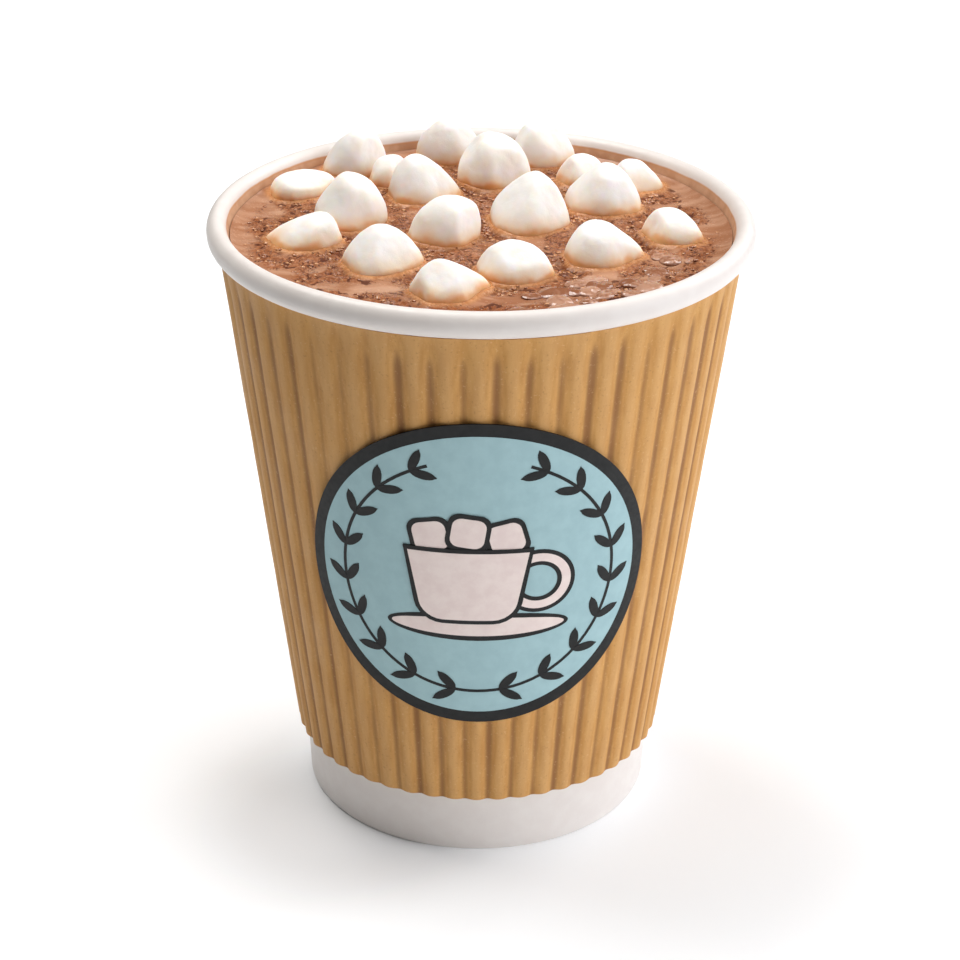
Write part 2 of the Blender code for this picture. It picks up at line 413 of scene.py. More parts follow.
tree.links.new(mixColors(tree, stain, white, stainColor), shader.inputs["Base Color"])
tree.links.new(mapValue(tree, cloudy(tree, coords, 1.2 * mm), 0.3, 0.7, 0.36, 0.5), shader.inputs["Roughness"])
fibre = cloudy(tree, stretch(tree, coords, (1.0, 1.0, 0.5)), 0.5 * mm, 4.0)
tree.links.new(bumpy(tree, fibre, 0.02 * mm, 0.5), shader.inputs["Normal"])
coatedPaper = material
dress(cup, coatedPaper, ["cup"])

material, tree, shader, coords = startMaterial("floorPaper", {"Roughness": 0.5})
mottle = cloudy(tree, coords, 2.5 * mm, 4.0)
tree.links.new(mixColors(tree, mapValue(tree, mottle, 0.35, 0.7), fromScreen(238, 235, 229), fromScreen(246, 243, 239)),
               shader.inputs["Base Color"])
tree.links.new(mapValue(tree, cloudy(tree, coords, 1.2 * mm), 0.3, 0.7, 0.42, 0.58), shader.inputs["Roughness"])
tree.links.new(bumpy(tree, cloudy(tree, coords, 0.5 * mm, 4.0), 0.03 * mm, 0.6), shader.inputs["Normal"])
nodes["cup_floor"].material_slots[0].material = material


# sleeve
print("sleeve")
clearSelection()
columnCount = sleeveShape["ripples"] * sleeveShape["columns"]
sleeveTall = sleeveShape["high"] - sleeveShape["low"]
bpy.ops.mesh.primitive_cone_add(
    vertices=columnCount, radius1=sleeveShape["lowRadius"], radius2=sleeveShape["highRadius"], depth=sleeveTall,
    end_fill_type="NOTHING", location=(0, 0, sleeveShape["low"] + sleeveTall / 2))
sleeve = bpy.context.object
sleeve.name = "rippleSleeve"
settle(sleeve)
openForEdit(sleeve)
rowCuts = sleeveShape["rows"] - 1
pickEdges(sleeve, lambda edge: abs(edge.verts[0].co.z - edge.verts[1].co.z) > 1 * mm)
bpy.ops.mesh.subdivide(number_cuts=rowCuts)
topRow = sleeveShape["high"] - sleeveTall / sleeveShape["rows"] - 0.1 * mm
pickEdges(sleeve, lambda edge: abs(edge.verts[0].co.z - edge.verts[1].co.z) > 1 * mm
          and min(edge.verts[0].co.z, edge.verts[1].co.z) > topRow)
bpy.ops.mesh.subdivide(number_cuts=sleeveShape["topCuts"])
bpy.ops.mesh.select_mode(type="VERT")

draw = random.Random(sleeveShape["seed"])
rippleDepths = [1 + draw.uniform(-1, 1) * sleeveShape["unevenDepth"] for _ in range(sleeveShape["ripples"])]
columnAngle = 2 * math.pi / columnCount


def columnOf(point):
    return round(math.atan2(point.y, point.x) / columnAngle) % columnCount


shape = bmesh.from_edit_mesh(sleeve.data)
heights = sorted({round(vert.co.z, 6) for vert in shape.verts})
# each row of each third of a ripple is drawn in towards the axis, the middle of the valley most
for height in heights:
    pressed = min(1.0, 0.3 + 0.7 * (sleeveShape["high"] - height) / sleeveShape["pressedTop"])
    for offset, share in sleeveShape["profile"]:
        inward = 1 - sleeveShape["depth"] * share * pressed / crestRadius(height)
        pickVerts(sleeve, lambda co: abs(co.z - height) < 0.01 * mm
                  and columnOf(co) % sleeveShape["columns"] in (offset, sleeveShape["columns"] - offset))
        bpy.ops.transform.resize(value=(inward, inward, 1), center_override=(0, 0, 0))
# single ripples are pressed a little flatter or deeper than the rest
for ripple, depth in enumerate(rippleDepths):
    middle = ripple * sleeveShape["columns"] + sleeveShape["columns"] // 2
    inward = 1 - sleeveShape["depth"] * (depth - 1) / sleeveShape["highRadius"]
    pickVerts(sleeve, lambda co: columnOf(co) in (middle - 1, middle, middle + 1))
    bpy.ops.transform.resize(value=(inward, inward, 1), center_override=(0, 0, 0))
closeEdit()
softenMesh(sleeve, 1)
displace(sleeve, "CLOUDS", 9 * mm, 0.1 * mm)
displace(sleeve, "CLOUDS", 2.2 * mm, 0.06 * mm)
applyAll(sleeve)


def grooveOf(point):
    return min(1.0, max(0.0, (crestRadius(point.z) - math.hypot(point.x, point.y)) / sleeveShape["depth"]))


paintValues(sleeve, "groove", [grooveOf(vert.co) for vert in sleeve.data.vertices])
sheet = sleeve.modifiers.new("sheet", "SOLIDIFY")
sheet.thickness = sleeveShape["sheet"]
sheet.offset = -1.0
applyAll(sleeve)
shadeSmooth(sleeve, 60)

material, tree, shader, coords = startMaterial("rippledKraft", {"Roughness": 0.7, "Specular IOR Level": 0.5})
tall = stretch(tree, coords, (1.0, 1.0, 0.12))
streaks = cloudy(tree, tall, 1.1 * mm, 5.0, 0.6)
blotches = cloudy(tree, coords, 9 * mm, 3.0)
speckle = cloudy(tree, coords, 0.45 * mm, 3.0, 0.6)
groove = painted(tree, "groove")
kraft = mixColors(tree, mapValue(tree, streaks, 0.3, 0.72), fromScreen(191, 137, 69), fromScreen(208, 156, 87))
kraft = mixColors(tree, mapValue(tree, blotches, 0.35, 0.75, 0, 0.3), kraft, fromScreen(199, 146, 82))
# painted highlight on the ripple crests and painted shade in the valleys, from how deep each point lies in its groove
kraft = mixColors(tree, mapValue(tree, groove, 0.35, 0.0, 0, 0.45), kraft, fromScreen(214, 167, 108))
kraft = mixColors(tree, mapValue(tree, groove, 0.5, 0.95, 0, 0.8), kraft, fromScreen(132, 84, 40))
kraft = mixColors(tree, mapValue(tree, speckle, 0.6, 0.72, 0, 0.35), kraft, fromScreen(140, 95, 52))
kraft = mixColors(tree, mapValue(tree, speckle, 0.4, 0.28, 0, 0.4), kraft, fromScreen(224, 184, 130))
tree.links.new(kraft, shader.inputs["Base Color"])
tree.links.new(mapValue(tree, blotches, 0.3, 0.7, 0.62, 0.78), shader.inputs["Roughness"])
fibres = bumpy(tree, streaks, 0.06 * mm, 0.6)
tree.links.new(bumpy(tree, speckle, 0.04 * mm, 0.7, fibres), shader.inputs["Normal"])
rippledKraft = material
dress(sleeve, rippledKraft, ["sleeve"])


# round sticker, drawn flat and then wrapped on the crests
print("sticker")
stickerShape = {
    "radius": 28.9 * mm,
    "centre": 57.2 * mm,
    "border": 2.2 * mm,
    "inner": 0.1 * mm,       # over the crests
    "outer": 0.5 * mm,
    "layer": 0.04 * mm,
    "sides": 144,
    "cut": 1.5 * mm,         # width of the strips that let it bend
}
sleeveLean = math.atan2(sleeveShape["highRadius"] - sleeveShape["lowRadius"], sleeveTall)


def wrapOnSleeve(piece):
    for vert in piece.data.vertices:
        height = stickerShape["centre"] + vert.co.y * math.cos(sleeveLean)
        radius = crestRadius(height)
        angle = vert.co.x / radius
        radius += vert.co.z
        vert.co = (radius * math.sin(angle), -radius * math.cos(angle), height)


def stripCuts(piece):        # straight cuts up and across, so that flat shapes can bend
    openForEdit(piece)
    reach = stickerShape["radius"]
    for axis in ((1, 0, 0), (0, 1, 0)):
        count = int(reach / stickerShape["cut"]) if axis[0] else int(reach / stickerShape["cut"] / 3)
        for step in range(-count, count + 1):
            bpy.ops.mesh.select_all(action="SELECT")
            place = Vector(axis) * reach * step / (count + 0.5)
            bpy.ops.mesh.bisect(plane_co=place, plane_no=axis)
    closeEdit()


def flatDisc(name, radius, height, sides, place=(0, 0), squash=1.0, turn=0.0):
    clearSelection()
    bpy.ops.mesh.primitive_circle_add(
        vertices=sides, radius=radius, location=(*place, height), rotation=(0, 0, turn), fill_type="NGON")
    disc = bpy.context.object
    disc.name = name
    disc.scale = (1, squash, 1)
    settle(disc)
    return disc


def joinAs(name, parts):
    clearSelection()
    for part in parts:
        part.select_set(True)
    bpy.context.view_layer.objects.active = parts[0]
    if len(parts) > 1:
        bpy.ops.object.join()
    parts[0].name = name
    return parts[0]


def thicken(piece, depth):
    wall = piece.modifiers.new("paper", "SOLIDIFY")
    wall.thickness = depth
    wall.offset = -1.0
    applyAll(piece)


def inkMaterial(name, first, second, roughness):
    material, tree, shader, coords = startMaterial(name, {"Roughness": roughness, "Specular IOR Level": 0.25})
    patchy = cloudy(tree, coords, 2.5 * mm, 5.0, 0.6)
    tree.links.new(mixColors(tree, mapValue(tree, patchy, 0.3, 0.7), first, second), shader.inputs["Base Color"])
    tree.links.new(mapValue(tree, cloudy(tree, coords, 0.8 * mm), 0.3, 0.7, roughness - 0.06, roughness + 0.08),
                   shader.inputs["Roughness"])
    tree.links.new(bumpy(tree, cloudy(tree, coords, 0.35 * mm, 3.0), 0.012 * mm, 0.6), shader.inputs["Normal"])
    return material


charcoalInk = inkMaterial("charcoalInk", fromScreen(24, 25, 26), fromScreen(32, 33, 33), 0.5)
blueInk = inkMaterial("paleBlueInk", fromScreen(158, 191, 197), fromScreen(166, 199, 204), 0.48)
creamInk = inkMaterial("rosyWhiteInk", fromScreen(232, 214, 209), fromScreen(240, 225, 219), 0.48)


def finishPrint(piece, ink, level, replaced=()):
    # level counts the printed layers up from the paper
    stripCuts(piece)
    tidyShell(piece, 0.002 * mm)
    top = stickerShape["outer"] + level * stickerShape["layer"]
    bottom = stickerShape["inner"] if level == 0 else stickerShape["outer"] - 0.02 * mm
    for vert in piece.data.vertices:
        vert.co.z = top
    thicken(piece, top - bottom)
    wrapOnSleeve(piece)
    shadeSmooth(piece, 50)
    dress(piece, ink, replaced)


radius = stickerShape["radius"]
paper = flatDisc("stickerBorder", radius, 0, stickerShape["sides"])
finishPrint(paper, charcoalInk, 0, ["label"])
field = flatDisc("stickerField", radius - stickerShape["border"], 0, stickerShape["sides"])
finishPrint(field, blueInk, 1)

# the print's own motif: a mug with sweets on top, in a wreath of leaves
motif = {
    "mugTop": 9.6 * mm,      # half widths
    "mugBottom": 7.2 * mm,
    "mugTall": 13.0 * mm,
    "mugPlace": (-1.6 * mm, -1.5 * mm),
    "outline": 0.75 * mm,
    "handle": (4.6 * mm, 1.5 * mm),      # radius and width
    "saucer": (14.0 * mm, 0.13),
    "sweets": ((-7.6, 7.9, 12), (-1.6, 8.8, -8), (4.4, 7.8, 15)),     # place in mm and turn in degrees
    "sweetSize": 5.4 * mm,
    "wreath": 22.4 * mm,
    "leaves": 18,            # pairs
    "leafSize": (2.0 * mm, 0.4),         # half length and squash
    "leafLean": 0.7,         # radians off the stem
    "stemWidth": 0.55 * mm,
    "wreathGap": 40,         # degrees left open at the top
}


def mugShape(grow):
    x, y = motif["mugPlace"]
    clearSelection()
    bpy.ops.mesh.primitive_plane_add(size=2, location=(x, y, 0))
    mug = bpy.context.object
    mug.scale = (motif["mugTop"] + grow, motif["mugTall"] / 2 + grow, 1)
    settle(mug)
    openForEdit(mug)
    pickVerts(mug, lambda co: co.y < y)
    share = (motif["mugBottom"] + grow) / (motif["mugTop"] + grow)
    bpy.ops.transform.resize(value=(share, 1, 1), center_override=(x, y, 0))
    bpy.ops.mesh.bevel(offset=3.2 * mm + grow, segments=6, affect="VERTICES")
    closeEdit()
    return mug


def ringShape(place, radius, width, sides=48):
    # a disc whose inset middle is taken out
    ring = flatDisc("ring", radius + width / 2, 0, sides, place)
    openForEdit(ring)
    bpy.ops.mesh.select_all(action="SELECT")
    bpy.ops.mesh.inset(thickness=width)
    bpy.ops.mesh.delete(type="FACE")
    closeEdit()
    return ring


def sweetShape(place, turn, grow):
    clearSelection()
    bpy.ops.mesh.primitive_plane_add(size=motif["sweetSize"] + 2 * grow, location=(*place, 0), rotation=(0, 0, turn))
    sweet = bpy.context.object
    openForEdit(sweet)
    bpy.ops.mesh.select_all(action="SELECT")
    bpy.ops.mesh.bevel(offset=1.5 * mm + grow / 2, segments=5, affect="VERTICES")
    closeEdit()
    settle(sweet)
    return sweet


def leafShape(place, turn):
    leaf = flatDisc("leaf", motif["leafSize"][0], 0, 20, (0, 0), motif["leafSize"][1])
    openForEdit(leaf)
    pickVerts(leaf, lambda co: abs(co.x) > 0.99 * motif["leafSize"][0])
    bpy.ops.transform.resize(value=(1.16, 1, 1), center_override=(0, 0, 0))
    closeEdit()
    leaf.location = (*place, 0)
    leaf.rotation_euler = (0, 0, turn)
    settle(leaf)
    return leaf


grow = motif["outline"]
mugX, mugY = motif["mugPlace"]
handlePlace = (mugX + motif["mugTop"] + 1.6 * mm, mugY + 0.6 * mm)
handleRadius, handleWidth = motif["handle"]
saucerPlace = (0, mugY - motif["mugTall"] / 2 - 1.4 * mm)
saucerRadius, saucerSquash = motif["saucer"]

dark = [flatDisc("saucer", saucerRadius + grow, 0, 64, saucerPlace, saucerSquash * 1.45),
        ringShape(handlePlace, handleRadius, handleWidth + 2 * grow)]
finishPrint(joinAs("stickerOutlineLow", dark), charcoalInk, 2)
light = [flatDisc("saucer", saucerRadius, 0, 64, saucerPlace, saucerSquash),
         ringShape(handlePlace, handleRadius, handleWidth)]
finishPrint(joinAs("stickerRosyLow", light), creamInk, 3)
for number, (x, y, turn) in enumerate(motif["sweets"]):
    place = (x * mm, y * mm)
    finishPrint(joinAs(f"stickerSweetEdge{number + 1}", [sweetShape(place, math.radians(turn), grow)]),
                charcoalInk, 4 + 2 * (number % 2))
    finishPrint(joinAs(f"stickerSweet{number + 1}", [sweetShape(place, math.radians(turn), 0)]),
                creamInk, 5 + 2 * (number % 2))
finishPrint(joinAs("stickerMugEdge", [mugShape(grow)]), charcoalInk, 8)
finishPrint(joinAs("stickerMug", [mugShape(0)]), creamInk, 9)

# two stems grow up from the bottom, one on each side, with leaves in pairs
stems = ringShape((0, 0), motif["wreath"], motif["stemWidth"], 120)
openForEdit(stems)
halfGap = math.radians(motif["wreathGap"] / 2)
pickVerts(stems, lambda co: co.y > 0 and abs(math.atan2(co.x, co.y)) < halfGap)
bpy.ops.mesh.delete(type="VERT")
closeEdit()
finishPrint(joinAs("stickerStems", [stems]), charcoalInk, 2)
leaves = []
span = 360 - motif["wreathGap"]
for step in range(motif["leaves"]):
    around = math.radians(90 + motif["wreathGap"] / 2 + span * (step + 0.5) / motif["leaves"])
    growing = around + math.copysign(math.pi / 2, math.cos(around))
    for lean in (-motif["leafLean"], motif["leafLean"]):
        turn = growing + lean
        x = motif["wreath"] * math.cos(around) + motif["leafSize"][0] * 1.1 * math.cos(turn)
        y = motif["wreath"] * math.sin(around) + motif["leafSize"][0] * 1.1 * math.sin(turn)
        leaves.append(leafShape((x, y), turn))
finishPrint(joinAs("stickerLeaves", leaves), charcoalInk, 3)


# marshmallows, each from its own solid
print("marshmallows")
puffShape = {
    "flats": ((-0.85, -0.4, 0.3), (0.6, -0.7, 0.35), (0.1, -0.25, 0.95)),
    "flatTurn": 0.25,        # how far each flat's direction strays
    "flatDepth": (0.5 * mm, 1.1 * mm),
    "fatten": 0.45 * mm,     # makes up for what the flats and the softening take off
    "lumps": (5.0 * mm, 0.5 * mm),       # size and height
    "dimples": (1.6 * mm, 0.1 * mm),
    "soakedTop": 3.5 * mm,
    "seed": 11,
}


def pressFlat(piece, toward, depth):     # dents one side as if another puff had leant on it
    reach = max(vert.co.dot(toward) for vert in piece.data.vertices) - depth
    openForEdit(piece)
    pickVerts(piece, lambda co: co.dot(toward) > reach)
    turned = toward.to_track_quat("Z", "Y").to_matrix()
    bpy.ops.transform.resize(value=(1, 1, 0), orient_type="GLOBAL", orient_matrix=turned,
                             orient_matrix_type="GLOBAL", center_override=toward * reach)
    closeEdit()


puffs = []
draw = random.Random(puffShape["seed"])
for number in range(1, 20):
    cadName = f"marshmallow_{number:02d}"
    puff = bpy.data.objects.new(f"marshmallowPuff{number:02d}", nodes[cadName].data.copy())
    scene.collection.objects.link(puff)
    openForEdit(puff)
    bpy.ops.mesh.select_all(action="SELECT")
    bpy.ops.mesh.remove_doubles(threshold=0.01 * mm)
    bpy.ops.mesh.tris_convert_to_quads()
    bpy.ops.mesh.customdata_custom_splitnormals_clear()
    closeEdit()
    softenMesh(puff, 1)
    applyAll(puff)
    for flat in puffShape["flats"]:
        stray = Vector([draw.uniform(-1, 1) * puffShape["flatTurn"] for _ in range(3)])
        pressFlat(puff, (Vector(flat) + stray).normalized(), draw.uniform(*puffShape["flatDepth"]))
    openForEdit(puff)
    bpy.ops.mesh.select_all(action="SELECT")
    bpy.ops.transform.shrink_fatten(value=puffShape["fatten"])
    closeEdit()
    softenMesh(puff, 2)
    displace(puff, "CLOUDS", *puffShape["lumps"])
    displace(puff, "CLOUDS", *puffShape["dimples"])
    applyAll(puff)
    shadeSmooth(puff, 180)
    puffs.append((puff, cadName))

material, tree, shader, coords = startMaterial("marshmallowSugar", {
    "Roughness": 0.75, "Subsurface Weight": 0.85, "Subsurface Radius": (1.0, 0.75, 0.55),
    "Subsurface Scale": 1.8 * mm, "Specular IOR Level": 0.25})
heightAt = addNode(tree, "SeparateXYZ", {0: coords}).outputs["Z"]
ragged = mapValue(tree, cloudy(tree, coords, 4.0 * mm, 2.0), 0.2, 0.8, -0.6 * mm, 0.6 * mm)
overDrink = combine(tree, "ADD", combine(tree, "SUBTRACT", heightAt, drinkLevel), ragged)
sugar = mixColors(tree, mapValue(tree, cloudy(tree, coords, 3.5 * mm), 0.3, 0.7), fromScreen(249, 241, 234),
                  fromScreen(253, 249, 245))
soaked = mixColors(tree, mapValue(tree, overDrink, 0.4 * mm, 1.8 * mm), fromScreen(238, 178, 122),
                   fromScreen(250, 225, 198))
sugar = mixColors(tree, mapValue(tree, overDrink, 0.8 * mm, puffShape["soakedTop"]), soaked, sugar)
tree.links.new(sugar, shader.inputs["Base Color"])
tree.links.new(mapValue(tree, overDrink, 0, 1.5 * mm, 0.3, 0.75), shader.inputs["Roughness"])
grain = bumpy(tree, cloudy(tree, coords, 0.9 * mm, 3.0), 0.1 * mm, 0.5)
tree.links.new(bumpy(tree, cloudy(tree, coords, 0.2 * mm, 2.0), 0.03 * mm, 0.6, grain), shader.inputs["Normal"])
marshmallowSugar = material
for puff, cadName in puffs:
    dress(puff, marshmallowSugar, [cadName])


# drink
print("drink")
drinkShape = {
    "sides": 560,
    "rings": 150,
    "gap": 0.3 * mm,
    "bottom": 6.0 * mm,
    "swell": (6.0 * mm, 0.35 * mm),
    "meniscus": (0.5 * mm, 0.7 * mm),    # height and reach at a marshmallow
    "wallCreep": (0.9 * mm, 1.1 * mm),
    "pocket": 3.6 * mm,
    "calmRing": (1.4 * mm, 4.5 * mm),    # smooth drink along the wall
    "curds": (2.1 * mm, 0.8 * mm),       # size and height of the froth's folds
    "foldTwist": 1.1 * mm,
    "crease": 0.11,          # share of a fold that is its dark line of painted shade
    "packed": (7.0 * mm, 3.0 * mm),      # gap between two marshmallows, from open to dark with painted shade
}
edgeRadius = cupRadius(drinkLevel) - cupShape["wall"] - 0.02 * mm
lowRing = cupRadius(drinkShape["bottom"]) - cupShape["wall"] - drinkShape["gap"]
rings = [(lowRing, drinkShape["bottom"])]
for height in (sleeveShape["low"], 40 * mm, 70 * mm, 95 * mm):
    rings.append((cupRadius(height) - cupShape["wall"] - drinkShape["gap"], height))
rings.append((cupRadius(drinkLevel - 1.2 * mm) - cupShape["wall"] - drinkShape["gap"], drinkLevel - 1.2 * mm))
rings += [(edgeRadius, drinkLevel - 0.3 * mm), (edgeRadius, drinkLevel)]
lastRadius = 0.3 * mm
for step in range(1, drinkShape["rings"] + 1):
    rings.append((edgeRadius + (lastRadius - edgeRadius) * step / drinkShape["rings"], drinkLevel))
drink = turnUp("cocoaDrink", rings, drinkShape["sides"], "NGON")
bpy.ops.mesh.merge(type="CENTER")
closeEdit()
settle(drink)
tidyShell(drink)

puffTrees = []
for puff, cadName in puffs:
    low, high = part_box(cadName)
    tree = BVHTree.FromPolygons([vert.co for vert in puff.data.vertices],
                                [face.vertices[:] for face in puff.data.polygons])
    puffTrees.append((tree, low - Vector((6, 6, 6)) * mm, high + Vector((6, 6, 6)) * mm))


def nearestPuffs(point):
    # signed distances to the two nearest marshmallows: under 0 inside one
    near = [9 * mm, 9 * mm]
    for tree, low, high in puffTrees:
        if low.x < point.x < high.x and low.y < point.y < high.y:
            place, normal, _, distance = tree.find_nearest(point)
            if (point - place).dot(normal) < 0:
                distance = -distance
            near.append(distance)
    near.sort()
    return near[0], near[1]


def ramp(value, low, high):              # 0 at low, 1 at high
    return min(1.0, max(0.0, (value - low) / (high - low)))


def frothAt(x, y):           # how folded the drink is here: in patches, and calm along the wall
    patch = noise.noise(Vector((x, y, 5 * mm)) / (5.5 * mm))
    calm = ramp(edgeRadius - math.hypot(x, y), *drinkShape["calmRing"])
    return calm * ramp(patch, -0.4, 0.05)


def packedAt(distance, second, x, y):    # 1 where the drink is squeezed between marshmallows
    squeezed = ramp(distance + second, *drinkShape["packed"]) * ramp(distance, 0.1 * mm, 0.8 * mm)
    return squeezed * ramp(edgeRadius - math.hypot(x, y), 5 * mm, 9 * mm)


melt, froth, creaseShade, packed = [], [], [], []
meniscusHeight, meniscusReach = drinkShape["meniscus"]
creepHeight, creepReach = drinkShape["wallCreep"]
swellSize, swellHeight = drinkShape["swell"]
curdSize, curdHigh = drinkShape["curds"]
for vert in drink.data.vertices:
    if vert.co.z < drinkLevel - 0.01 * mm:
        for values in (melt, froth, creaseShade, packed):
            values.append(0.0)
        continue
    x, y = vert.co.x, vert.co.y
    fromWall = edgeRadius - math.hypot(x, y)
    distance, second = nearestPuffs(vert.co)
    squeezed = packedAt(distance, second, x, y)
    foamy = max(frothAt(x, y), 0.7 * squeezed)
    nearPuff = math.exp(-max(distance, 0.0) / meniscusReach)
    # folds with sharp lines between them, finer ones on top
    flat = Vector((x, y, 0))
    twisted = flat + noise.noise_vector(flat / (2.4 * mm)) * drinkShape["foldTwist"]
    fold = abs(noise.noise(twisted / curdSize))
    small = abs(noise.noise(twisted / (0.42 * curdSize) + Vector((0, 0, 4))))
    broken = ramp(noise.noise(flat / (1.7 * mm) + Vector((0, 0, 8))), -0.2, 0.15)
    lift = swellHeight * ramp(fromWall, 0, 3 * mm) * noise.noise(flat / swellSize)
    lift += foamy * curdHigh * (fold + 0.35 * small - 0.25) * (1 - nearPuff)
    lift -= 0.5 * mm * squeezed
    lift += creepHeight * math.exp(-fromWall / creepReach)
    if distance > -0.6 * mm:
        lift += meniscusHeight * nearPuff
    else:
        lift -= drinkShape["pocket"] * ramp(-distance, 0.6 * mm, 1.4 * mm)
    vert.co.z += lift
    melt.append(math.exp(-max(distance, 0.0) / (1.1 * mm)))
    froth.append(foamy)
    creaseShade.append(ramp(foamy * broken, 0, 0.5) * ramp(min(fold, small + 0.06), drinkShape["crease"], 0.03))
    packed.append(squeezed)
paintValues(drink, "melt", melt)
paintValues(drink, "froth", froth)
paintValues(drink, "creaseShade", creaseShade)
paintValues(drink, "packed", packed)
tidyShell(drink, 0.001 * mm)
shadeSmooth(drink, 60)

material, tree, shader, coords = startMaterial("hotCocoa", {
    "Roughness": 0.3, "Subsurface Weight": 0.0, "Specular IOR Level": 0.2})
frothMask = painted(tree, "froth")
meltMask = painted(tree, "melt")
creaseShadeMask = painted(tree, "creaseShade")
packedMask = painted(tree, "packed")
swirl = cloudy(tree, stretch(tree, coords, (0.6, 1.4, 1.0)), 4.5 * mm, 4.0, 0.5, 0.8)
fine = cloudy(tree, coords, 0.6 * mm, 3.0, 0.6, 0.4)
smoothCocoa = mixColors(tree, mapValue(tree, swirl, 0.32, 0.68), fromScreen(166, 115, 84), fromScreen(194, 149, 120))
foam = mixColors(tree, mapValue(tree, fine, 0.36, 0.64), fromScreen(134, 75, 43), fromScreen(174, 115, 78))
cocoa = mixColors(tree, mapValue(tree, frothMask, 0.15, 0.8, 0, 0.85), smoothCocoa, foam)
# deeper brown along the front, where the wall shades it
places = addNode(tree, "SeparateXYZ", {0: coords}).outputs
shaded = mapValue(tree, combine(tree, "ADD", places["Y"], combine(tree, "MULTIPLY", swirl, 6 * mm)), -23 * mm, -33 * mm)
shaded = combine(tree, "MULTIPLY", shaded, mapValue(tree, places["X"], 22 * mm, 6 * mm, 0, 0.75))
cocoa = mixColors(tree, shaded, cocoa, fromScreen(140, 78, 44))
# painted shade in the creases at the bottoms of the folds
cocoa = mixColors(tree, mapValue(tree, creaseShadeMask, 0.05, 0.6, 0, 0.9), cocoa, fromScreen(84, 38, 18))
# thin dark lines between the folds, finer than the mesh and broken up: painted shade in the creases
lines = addNode(tree, "Math", {0: combine(tree, "SUBTRACT", cloudy(tree, coords, 1.7 * mm, 1.0, 0.5, 2.0), 0.5)},
                operation="ABSOLUTE").outputs[0]
lineBreaks = mapValue(tree, cloudy(tree, coords, 2.6 * mm, 1.0), 0.4, 0.52)
lines = combine(tree, "MULTIPLY", mapValue(tree, lines, 0.032, 0.008), mapValue(tree, frothMask, 0.05, 0.4))
lines = combine(tree, "MULTIPLY", lines, lineBreaks)
cocoa = mixColors(tree, combine(tree, "MULTIPLY", lines, 0.85), cocoa, fromScreen(84, 38, 18))
# painted shade where the drink is squeezed between marshmallows, patchy by the fine noise
squeezed = combine(tree, "MULTIPLY", packedMask, mapValue(tree, fine, 0.66, 0.42, 0.45, 0.97))
cocoa = mixColors(tree, squeezed, cocoa, fromScreen(88, 38, 16))
halo = mixColors(tree, mapValue(tree, fine, 0.3, 0.7), fromScreen(190, 126, 78), fromScreen(214, 158, 108))
cocoa = mixColors(tree, mapValue(tree, meltMask, 0.3, 0.9, 0, 0.9), cocoa, halo)
# painted glints: small bright specks, most where the drink is packed between marshmallows
paintedGlints = mapValue(tree, cells(tree, coords, 0.5 * mm), 0.2, 0.1)
paintedGlints = combine(tree, "MULTIPLY", paintedGlints, mapValue(tree, packedMask, 0.1, 0.6, 0, 0.8))
cocoa = mixColors(tree, paintedGlints, cocoa, fromScreen(216, 160, 112))
tree.links.new(cocoa, shader.inputs["Base Color"])
dull = combine(tree, "MAXIMUM", lines, creaseShadeMask)
tree.links.new(mapValue(tree, combine(tree, "ADD", fine, dull), 0.3, 1.3, 0.18, 0.55), shader.inputs["Roughness"])
ripply = bumpy(tree, swirl, 0.3 * mm, 0.4)
creased = bumpy(tree, lines, -0.1 * mm, 0.6, ripply)
tree.links.new(bumpy(tree, fine, 0.06 * mm, 0.4, creased), shader.inputs["Normal"])
hotCocoa = material
dress(drink, hotCocoa, ["drink"])


# bubbles on the drink, each a dome that is set on the surface
print("bubbles")
bubbleShape = {
    "small": {"count": 2800, "radius": (0.1 * mm, 0.42 * mm), "skew": 2.5, "tall": 0.6, "sides": 9, "rings": 6},
    "large": {"count": 42, "radius": (0.7 * mm, 2.4 * mm), "skew": 1.4, "tall": 0.32, "sides": 24, "rings": 16},
    "clump": 2.0 * mm,
    "seed": 23,
}
drinkTree = BVHTree.FromPolygons([vert.co for vert in drink.data.vertices],
                                 [face.vertices[:] for face in drink.data.polygons])


def surfaceAt(x, y):
    place, _, _, _ = drinkTree.ray_cast(Vector((x, y, drinkLevel + 5 * mm)), Vector((0, 0, -1)))
    return place


def domeModel(kind):
    # the upper part of a sphere with a flat base, as its points and faces
    clearSelection()
    bpy.ops.mesh.primitive_uv_sphere_add(segments=kind["sides"], ring_count=kind["rings"], radius=1)
    dome = bpy.context.object
    openForEdit(dome)
    pickVerts(dome, lambda co: co.z < -0.6)
    bpy.ops.mesh.delete(type="VERT")
    pickEdges(dome, lambda edge: edge.is_boundary)
    bpy.ops.mesh.edge_face_add()
    bpy.ops.mesh.select_all(action="SELECT")
    bpy.ops.mesh.normals_make_consistent(inside=False)
    closeEdit()
    points = [vert.co.copy() for vert in dome.data.vertices]
    faces = [tuple(face.vertices) for face in dome.data.polygons]
    bpy.data.objects.remove(dome)
    return points, faces


def smallSpot(draw):         # clumps in the folds, most of them between the marshmallows
    reach, turn = edgeRadius * math.sqrt(draw.random()), draw.uniform(0, 2 * math.pi)
    x, y = reach * math.cos(turn), reach * math.sin(turn)
    clumped = 0.3 + 1.4 * noise.noise(Vector((x, y, 0)) / bubbleShape["clump"])
    squeezed = packedAt(*nearestPuffs(Vector((x, y, drinkLevel))), x, y)
    wanted = clumped * (0.22 * frothAt(x, y) + squeezed)
    return (x, y, turn) if draw.random() < wanted else None


def largeSpot(draw):         # at the right and front, longer along the wall
    reach, turn = edgeRadius * draw.uniform(0.66, 0.9), math.radians(draw.gauss(-45, 28))
    return reach * math.cos(turn), reach * math.sin(turn), turn


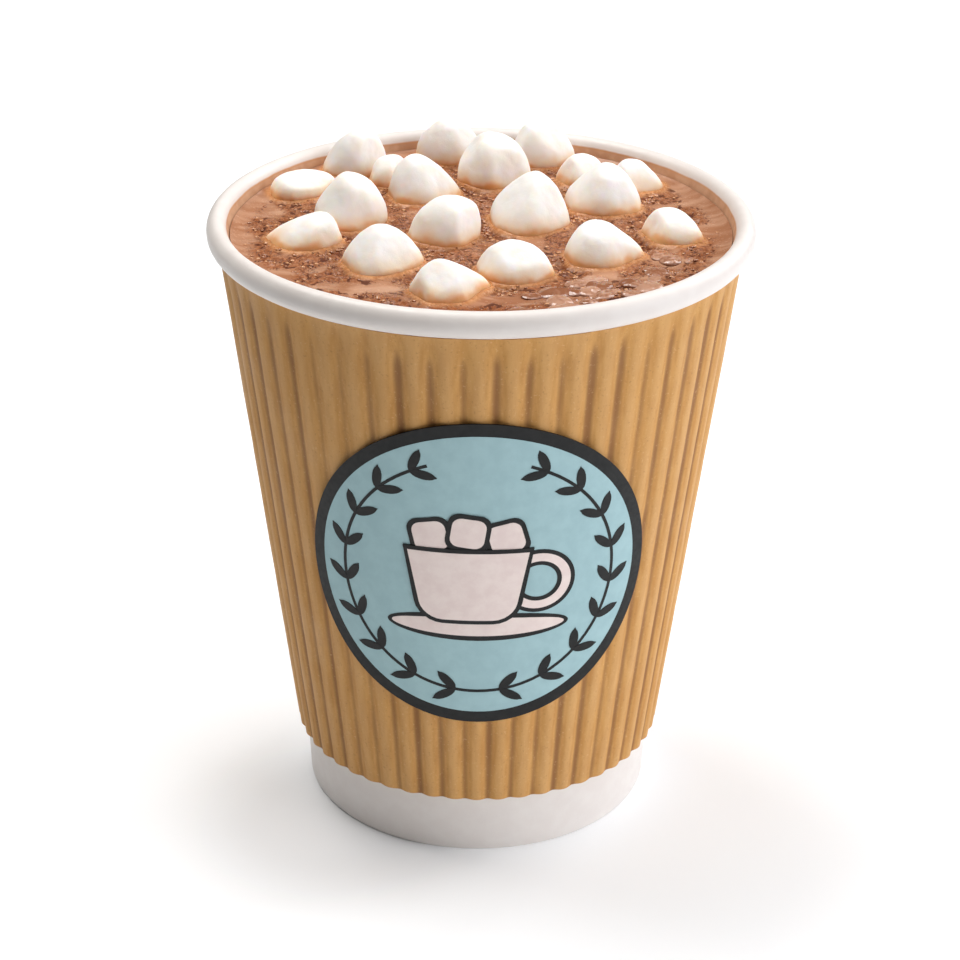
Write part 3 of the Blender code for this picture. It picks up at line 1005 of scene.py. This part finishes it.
def scatterDomes(name, kind, findSpot, clearance):
    draw = random.Random(bubbleShape["seed"])
    model, modelFaces = domeModel(kind)
    points, faces, tones, rises = [], [], [], []
    made = 0
    while made < kind["count"]:
        spot = findSpot(draw)
        if not spot:
            continue
        x, y, turn = spot
        least, most = kind["radius"]
        radius = least + (most - least) * draw.random() ** kind["skew"]
        ground = surfaceAt(x, y)
        if nearestPuffs(Vector((x, y, drinkLevel)))[0] < clearance * radius or not ground:
            continue
        long = radius * draw.uniform(1.0, 1.5)
        tone = draw.random()
        start = len(points)
        for point in model:
            across, along = point.x * radius, point.y * long
            points.append((
                x + across * math.cos(turn) - along * math.sin(turn),
                y + across * math.sin(turn) + along * math.cos(turn),
                ground.z + point.z * radius * kind["tall"]))
            tones.append(tone)
            rises.append(point.z)
        faces += [tuple(start + index for index in face) for face in modelFaces]
        made += 1
    mesh = bpy.data.meshes.new(name)
    mesh.from_pydata(points, [], faces)
    piece = bpy.data.objects.new(name, mesh)
    scene.collection.objects.link(piece)
    paintValues(piece, "tone", tones)
    paintValues(piece, "rise", rises)
    shadeSmooth(piece, 180)
    return piece


def bubbleMaterial(name, dark, light, roughness, footShade):
    material, tree, shader, coords = startMaterial(name, {
        "Roughness": roughness, "Coat Weight": 0.5, "Coat Roughness": 0.1, "Specular IOR Level": 0.5})
    patchy = cloudy(tree, coords, 0.7 * mm, 4.0)
    mixed = combine(tree, "ADD", mapValue(tree, patchy, 0.3, 0.7, -0.25, 0.25), painted(tree, "tone"))
    film = mixColors(tree, mapValue(tree, mixed, 0.15, 1.0), dark, light)
    # painted shade: the foot of each dome is darker, where a bubble meets the drink
    film = mixColors(tree, mapValue(tree, painted(tree, "rise"), 0.55, 0.1, 0, footShade), film, fromScreen(104, 52, 26))
    tree.links.new(film, shader.inputs["Base Color"])
    tree.links.new(mapValue(tree, patchy, 0.3, 0.7, roughness - 0.05, roughness + 0.1), shader.inputs["Roughness"])
    tree.links.new(bumpy(tree, cloudy(tree, coords, 0.5 * mm, 3.0), 0.08 * mm, 0.4), shader.inputs["Normal"])
    return material


frothBubbles = scatterDomes("frothBubbles", bubbleShape["small"], smallSpot, 0.6)
dress(frothBubbles, bubbleMaterial("bubbleFilm", fromScreen(154, 94, 56), fromScreen(208, 150, 102), 0.14, 0.5))
largeBubbles = scatterDomes("largeBubbles", bubbleShape["large"], largeSpot, 0.9)
displace(largeBubbles, "CLOUDS", 2.2 * mm, 0.8 * mm)
applyAll(largeBubbles)
dress(largeBubbles, bubbleMaterial("lumpGlaze", fromScreen(150, 98, 70), fromScreen(194, 148, 122), 0.16, 0.6))


print("done")
